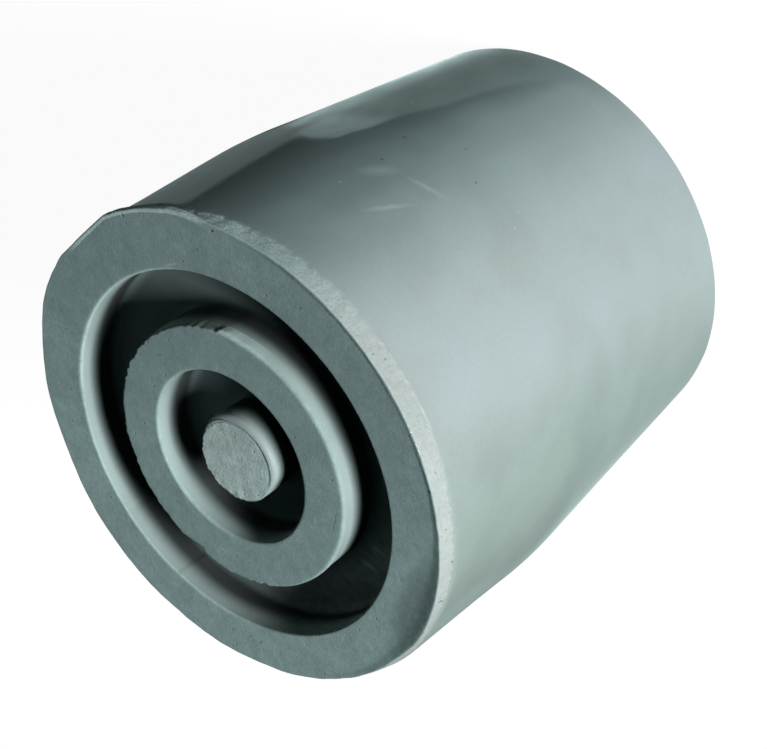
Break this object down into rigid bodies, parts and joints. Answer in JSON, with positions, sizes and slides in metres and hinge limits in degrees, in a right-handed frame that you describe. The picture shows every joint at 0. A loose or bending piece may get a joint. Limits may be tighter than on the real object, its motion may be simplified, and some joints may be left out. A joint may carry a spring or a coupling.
{
  "type": "rubber cane tip",
  "caption": "Round rubber tip for a cane or crutch: a blind socket grips the shaft, and the tread face has two ring grooves round a middle ring and a centre boss.",
  "frame": {"origin": "centre of the socket's mouth, on the rim that the part stands on", "axes": "+Z along the socket's axis, from the mouth up to the tread face; X and Y across it"},
  "size_m": [0.038, 0.038, 0.0384],
  "materials": {
    "rubber": "satin moulded grey rubber, matt where trimmed"
  },
  "bodies": {
    "root": {"cane_tip": "rubber"}
  },
  "joints": []
}
